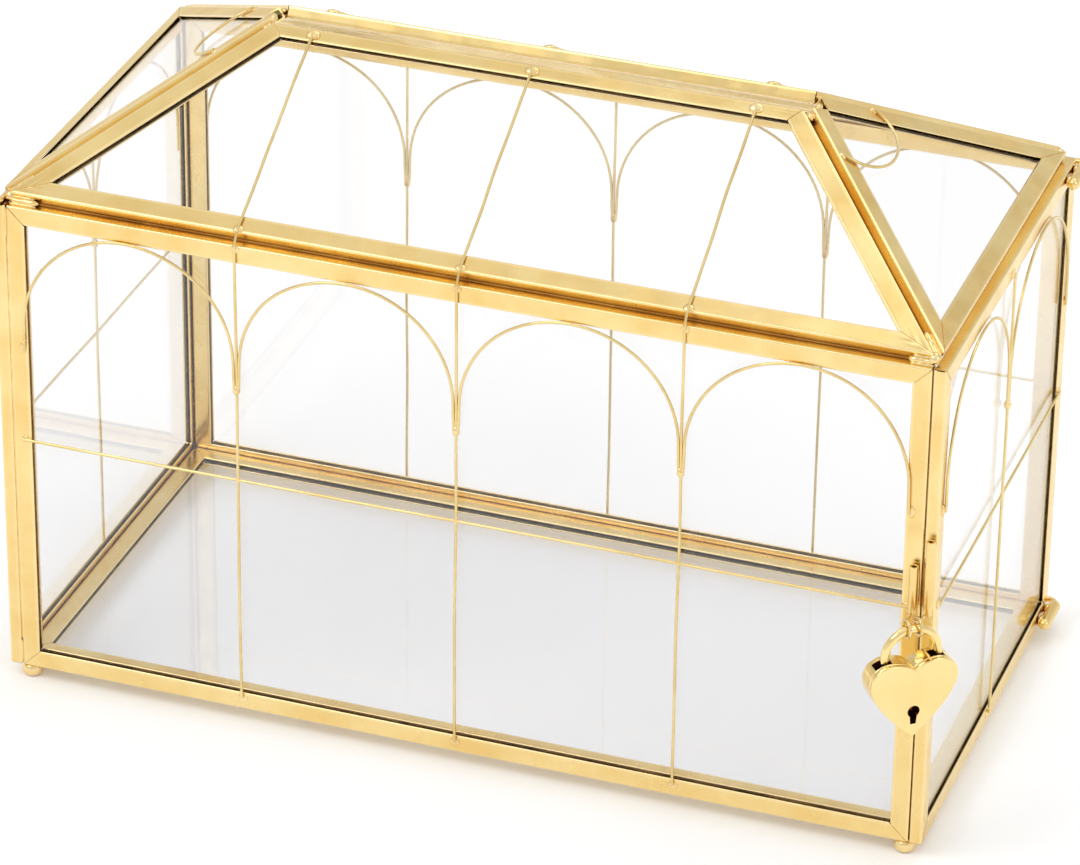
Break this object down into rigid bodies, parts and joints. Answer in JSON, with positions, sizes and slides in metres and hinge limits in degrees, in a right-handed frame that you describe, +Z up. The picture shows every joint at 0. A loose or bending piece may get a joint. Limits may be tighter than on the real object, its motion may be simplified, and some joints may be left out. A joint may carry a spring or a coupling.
{
  "type": "wedding card box",
  "caption": "Glass card box in brass came, shaped like a small greenhouse, with a card slot along the ridge, a hinged end door and a heart padlock.",
  "frame": {"origin": "bottom centre of the whole object's box, at the level of the feet", "axes": "+X towards the hinged end door, +Y towards the back wall, +Z up; the front wall faces -Y"},
  "size_m": [0.2672, 0.1484, 0.1801],
  "materials": {
    "came_brass": "satin light brass channel with soft edges",
    "clear_glass": "clear, smooth",
    "wire_brass": "thin drawn brass wire, slightly green",
    "lock_gold": "polished gold plate"
  },
  "bodies": {
    "case": {"front_came_bottom": "came_brass", "front_came_right": "came_brass", "front_came_top": "came_brass", "front_came_left": "came_brass", "back_came_bottom": "came_brass", "back_came_right": "came_brass", "back_came_top": "came_brass", "back_came_left": "came_brass", "left_came_bottom": "came_brass", "left_came_right": "came_brass", "left_came_top": "came_brass", "left_came_left": "came_brass", "front_roof_came_bottom": "came_brass", "front_roof_came_right": "came_brass", "front_roof_came_top": "came_brass", "front_roof_came_left": "came_brass", "back_roof_came_bottom": "came_brass", "back_roof_came_right": "came_brass", "back_roof_came_top": "came_brass", "back_roof_came_left": "came_brass", "right_hip_came_bottom": "came_brass", "right_hip_came_right": "came_brass", "right_hip_came_left": "came_brass", "left_hip_came_bottom": "came_brass", "left_hip_came_right": "came_brass", "left_hip_came_left": "came_brass", "base_came": "came_brass", "hinge_tube": "came_brass", "case_latch_tube": "came_brass", "foot_front_left": "came_brass", "foot_front_right": "came_brass", "foot_back_left": "came_brass", "foot_back_right": "came_brass", "front_glass": "clear_glass", "back_glass": "clear_glass", "left_glass": "clear_glass", "base_glass": "clear_glass", "front_roof_glass": "clear_glass", "back_roof_glass": "clear_glass", "right_hip_glass": "clear_glass", "left_hip_glass": "clear_glass", "front_wires": "wire_brass", "back_wires": "wire_brass", "left_wires": "wire_brass", "right_hip_loop": "wire_brass", "left_hip_loop": "wire_brass", "case_eye": "wire_brass"},
    "door": {"door_glass": "clear_glass", "door_came_bottom": "came_brass", "door_came_right": "came_brass", "door_came_top": "came_brass", "door_came_left": "came_brass", "door_wires": "wire_brass", "hinge_wire": "came_brass", "door_latch_tube": "came_brass", "door_eye": "wire_brass"},
    "shackle": {"padlock_shackle": "lock_gold"},
    "padlock": {"padlock_body": "lock_gold", "padlock_face": "lock_gold", "padlock_key_pin": "lock_gold"}
  },
  "joints": [
    {"name": "door_hinge", "type": "hinge", "parent": "case", "child": "door", "pos_m": [0.12301, 0.07255, 0.074], "axis": [0, 0, 1], "range_deg": [0, 120]},
    {"name": "padlock_swing", "type": "hinge", "parent": "door", "child": "shackle", "pos_m": [0.12231, -0.06395, 0.074], "axis": [-0.766, -0.6428, 0], "range_deg": [0, 80]},
    {"name": "lock_opening", "type": "hinge", "parent": "shackle", "child": "padlock", "pos_m": [0.11672, -0.06864, 0.0626], "axis": [-0.6428, 0.766, 0], "range_deg": [0, 25]}
  ]
}
